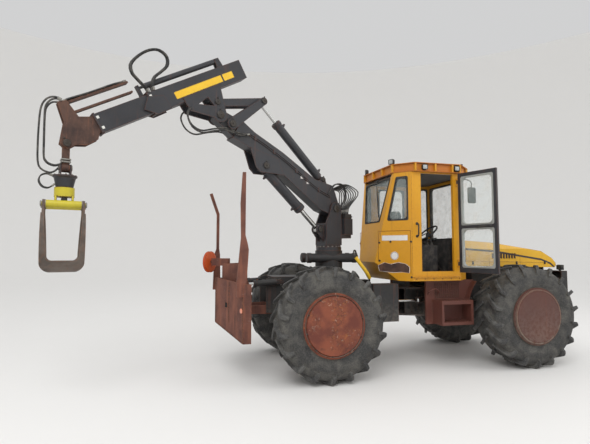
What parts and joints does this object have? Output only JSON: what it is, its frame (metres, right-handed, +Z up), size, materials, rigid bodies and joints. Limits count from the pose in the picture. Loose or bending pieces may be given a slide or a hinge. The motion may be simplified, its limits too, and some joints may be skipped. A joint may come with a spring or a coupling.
{
  "type": "articulated forestry skidder with timber crane",
  "caption": "Articulated forestry skidder with cab, rear shield with stakes, and a slewing telescopic timber crane with a hanging log grapple.",
  "frame": {"origin": "on the ground, below the middle of the whole machine's outline seen from above", "axes": "+X forward towards the hood, +Y to the machine's left, +Z up"},
  "size_m": [8.5125, 3.1303, 4.7221],
  "materials": {
    "yellow_paint": "worn golden yellow paint",
    "black_paint": "dusty black paint",
    "chassis_black": "dirty black chassis paint",
    "rust": "rusty steel plate",
    "primer_brown": "red-brown primer",
    "chrome_rod": "polished piston rod",
    "tyre_rubber": "dusty tyre rubber",
    "pane": "clear window glass",
    "cab_trim": "black cab trim",
    "seat_cloth": "dark seat cloth",
    "engine_iron": "cast iron block",
    "grapple_yellow": "yellow-green paint",
    "worn_steel": "worn grey-brown steel",
    "orange_paint": "orange paint"
  },
  "bodies": {
    "front_frame": {"front_frame": "chassis_black", "front_axle": "chassis_black", "engine": "engine_iron", "hood": "yellow_paint", "nose_guard": "chassis_black", "fuel_tank": "chassis_black", "steps": "primer_brown", "cab_shell": "yellow_paint", "cab_roof": "yellow_paint", "cab_glass": "pane", "seat": "seat_cloth", "controls": "cab_trim"},
    "rear_frame": {"rear_frame": "chassis_black", "rear_axle": "chassis_black", "slew_base": "black_paint"},
    "door_right": {"door_right": "black_paint", "glass_right": "pane"},
    "door_left": {"door_left": "yellow_paint", "glass_left": "pane"},
    "shield": {"shield": "rust"},
    "shield_barrels": {"shield_barrels": "chassis_black"},
    "shield_rods": {"shield_rods": "chrome_rod"},
    "pulley": {"pulley": "orange_paint"},
    "steer_barrel_right": {"steer_barrel_right": "chassis_black"},
    "steer_rod_right": {"steer_rod_right": "chrome_rod"},
    "wheel_front_right": {"tyre_front_right": "tyre_rubber", "rim_front_right": "primer_brown"},
    "wheel_rear_right": {"tyre_rear_right": "tyre_rubber", "rim_rear_right": "primer_brown"},
    "steer_barrel_left": {"steer_barrel_left": "chassis_black"},
    "steer_rod_left": {"steer_rod_left": "chrome_rod"},
    "wheel_front_left": {"tyre_front_left": "tyre_rubber", "rim_front_left": "primer_brown"},
    "wheel_rear_left": {"tyre_rear_left": "tyre_rubber", "rim_rear_left": "primer_brown"},
    "crane_post": {"crane_post": "black_paint"},
    "main_boom": {"main_boom": "black_paint"},
    "lift_barrel": {"lift_barrel": "black_paint"},
    "lift_rod": {"lift_rod": "chrome_rod"},
    "jib_barrel": {"jib_barrel": "black_paint"},
    "jib_rod": {"jib_rod": "chrome_rod"},
    "guide_link": {"guide_link": "black_paint"},
    "drag_link": {"drag_link": "black_paint"},
    "jib": {"jib": "black_paint"},
    "middle_section": {"middle_section": "black_paint"},
    "boom_head": {"boom_head": "rust"},
    "hanger": {"hanger": "worn_steel"},
    "rotator": {"rotator": "black_paint"},
    "grapple_head": {"grapple_head": "grapple_yellow"},
    "jaw_near": {"jaw_near": "worn_steel"},
    "jaw_far": {"jaw_far": "worn_steel"}
  },
  "joints": [
    {"name": "articulation", "type": "hinge", "parent": "front_frame", "child": "rear_frame", "pos_m": [0.9377, 0.2417, 1], "axis": [0, 0, 1], "range_deg": [-38, 38]},
    {"name": "steer_barrel_swing_right", "type": "hinge", "parent": "rear_frame", "child": "steer_barrel_right", "pos_m": [0.2477, -0.1533, 1.03], "axis": [0, 0, 1], "range_deg": [-13.89, 13.89]},
    {"name": "steer_rod_stroke_right", "type": "slide", "parent": "steer_barrel_right", "child": "steer_rod_right", "axis": [1, 0, 0], "range_m": [-0.2602, 0.2602]},
    {"name": "steer_barrel_swing_left", "type": "hinge", "parent": "rear_frame", "child": "steer_barrel_left", "pos_m": [0.2477, 0.6367, 1.03], "axis": [0, 0, 1], "range_deg": [-13.89, 13.89]},
    {"name": "steer_rod_stroke_left", "type": "slide", "parent": "steer_barrel_left", "child": "steer_rod_left", "axis": [1, 0, 0], "range_m": [-0.2602, 0.2602]},
    {"name": "wheel_front_right_spin", "type": "hinge", "parent": "front_frame", "child": "wheel_front_right", "pos_m": [2.9147, -0.7833, 0.82], "axis": [0, 1, 0], "continuous": true},
    {"name": "wheel_front_left_spin", "type": "hinge", "parent": "front_frame", "child": "wheel_front_left", "pos_m": [2.9147, 1.2667, 0.82], "axis": [0, 1, 0], "continuous": true},
    {"name": "wheel_rear_right_spin", "type": "hinge", "parent": "rear_frame", "child": "wheel_rear_right", "pos_m": [-0.5123, -0.7833, 0.82], "axis": [0, 1, 0], "continuous": true},
    {"name": "wheel_rear_left_spin", "type": "hinge", "parent": "rear_frame", "child": "wheel_rear_left", "pos_m": [-0.5123, 1.2667, 0.82], "axis": [0, 1, 0], "continuous": true},
    {"name": "door_right_hinge", "type": "hinge", "parent": "front_frame", "child": "door_right", "pos_m": [1.8427, -0.5833, 2.3], "axis": [0, 0, 1], "range_deg": [-110, 0]},
    {"name": "door_left_hinge", "type": "hinge", "parent": "front_frame", "child": "door_left", "pos_m": [1.8427, 1.0667, 2.3], "axis": [0, 0, -1], "range_deg": [0, 110]},
    {"name": "slew", "type": "hinge", "parent": "rear_frame", "child": "crane_post", "pos_m": [-0.1323, 0.2417, 1.9], "axis": [0, 0, 1], "range_deg": [-120, 80]},
    {"name": "boom_lift", "type": "hinge", "parent": "crane_post", "child": "main_boom", "pos_m": [-0.08532, 0.2588, 2.578], "axis": [-0.342, 0.9397, 0], "range_deg": [-35, 38]},
    {"name": "lift_barrel_swing", "type": "hinge", "parent": "main_boom", "child": "lift_barrel", "pos_m": [-1.37645, -0.21113, 3.17], "axis": [-0.342, 0.9397, 0], "range_deg": [-0.94, 0.91]},
    {"name": "lift_rod_stroke", "type": "slide", "parent": "lift_barrel", "child": "lift_rod", "axis": [0.7073, 0.2574, -0.6584], "range_m": [-0.2706, 0.2936]},
    {"name": "jib_fold", "type": "hinge", "parent": "main_boom", "child": "jib", "pos_m": [-2.10378, -0.47586, 3.826], "axis": [0.342, -0.9397, 0], "range_deg": [-40, 45]},
    {"name": "guide_link_swing", "type": "hinge", "parent": "main_boom", "child": "guide_link", "pos_m": [-1.92805, -0.4119, 3.72], "axis": [0.342, -0.9397, 0], "range_deg": [-22.92, 25.72]},
    {"name": "drag_link_swing", "type": "hinge", "parent": "jib", "child": "drag_link", "pos_m": [-2.14794, -0.49193, 4.006], "axis": [0.342, -0.9397, 0], "range_deg": [-24.88, 22.17]},
    {"name": "jib_barrel_swing", "type": "hinge", "parent": "main_boom", "child": "jib_barrel", "pos_m": [-0.29393, 0.18287, 3.061], "axis": [0.342, -0.9397, 0], "range_deg": [-1.99, 1.83]},
    {"name": "jib_rod_stroke", "type": "slide", "parent": "jib_barrel", "child": "jib_rod", "axis": [-0.6945, -0.2528, 0.6737], "range_m": [-0.2646, 0.2974]},
    {"name": "middle_slide", "type": "slide", "parent": "jib", "child": "middle_section", "axis": [-0.8097, -0.2947, -0.5075], "range_m": [0, 0.7]},
    {"name": "head_slide", "type": "slide", "parent": "middle_section", "child": "boom_head", "axis": [-0.8097, -0.2947, -0.5075], "range_m": [0, 0.85]},
    {"name": "hanger_swing", "type": "hinge", "parent": "boom_head", "child": "hanger", "pos_m": [-3.95237, -1.14869, 3.13841], "axis": [-0.342, 0.9397, 0], "range_deg": [-60, 60]},
    {"name": "rotator_sway", "type": "hinge", "parent": "hanger", "child": "rotator", "pos_m": [-3.95237, -1.14869, 2.848], "axis": [-0.9397, -0.342, 0], "range_deg": [-45, 45]},
    {"name": "rotator_spin", "type": "hinge", "parent": "rotator", "child": "grapple_head", "pos_m": [-3.95237, -1.14869, 2.56], "axis": [0, 0, 1], "continuous": true},
    {"name": "jaw_near_grip", "type": "hinge", "parent": "grapple_head", "child": "jaw_near", "pos_m": [-3.92819, -1.256, 2.4], "axis": [-0.9755, -0.2198, 0], "range_deg": [0, 50]},
    {"name": "jaw_far_grip", "type": "hinge", "parent": "grapple_head", "child": "jaw_far", "pos_m": [-3.97655, -1.04138, 2.4], "axis": [0.9755, 0.2198, 0], "range_deg": [0, 50]},
    {"name": "shield_lower", "type": "hinge", "parent": "rear_frame", "child": "shield", "pos_m": [-1.2123, 0.2417, 0.94], "axis": [0, -1, 0], "range_deg": [0, 32]},
    {"name": "shield_barrel_swing", "type": "hinge", "parent": "rear_frame", "child": "shield_barrels", "pos_m": [-1.0523, 0.2417, 1.38], "axis": [0, -1, 0], "range_deg": [-0.5, 20.58]},
    {"name": "shield_rod_stroke", "type": "slide", "parent": "shield_barrels", "child": "shield_rods", "axis": [-0.9981, 0, -0.0624], "range_m": [-0.002, 0.2246]},
    {"name": "pulley_spin", "type": "hinge", "parent": "shield", "child": "pulley", "pos_m": [-2.1073, 0.5917, 1.68], "axis": [0.7986, -0.6018, 0], "continuous": true}
  ],
  "couplings": [
    {"joint": "steer_barrel_swing_right", "follows": "articulation", "ratio": -0.35227},
    {"joint": "steer_rod_stroke_right", "follows": "articulation", "m_per_rad": -0.38931},
    {"joint": "steer_barrel_swing_left", "follows": "articulation", "ratio": -0.35227},
    {"joint": "steer_rod_stroke_left", "follows": "articulation", "m_per_rad": 0.38931},
    {"joint": "lift_barrel_swing", "follows": "boom_lift", "ratio": -0.01166},
    {"joint": "lift_rod_stroke", "follows": "boom_lift", "m_per_rad": 0.43968},
    {"joint": "guide_link_swing", "follows": "jib_fold", "ratio": 0.56052},
    {"joint": "drag_link_swing", "follows": "jib_fold", "ratio": -0.54171},
    {"joint": "jib_barrel_swing", "follows": "jib_fold", "ratio": -0.03316},
    {"joint": "jib_rod_stroke", "follows": "jib_fold", "m_per_rad": 0.37608},
    {"joint": "jaw_far_grip", "follows": "jaw_near_grip", "ratio": 1},
    {"joint": "shield_barrel_swing", "follows": "shield_lower", "ratio": 0.62759},
    {"joint": "shield_rod_stroke", "follows": "shield_lower", "m_per_rad": 0.3986}
  ]
}
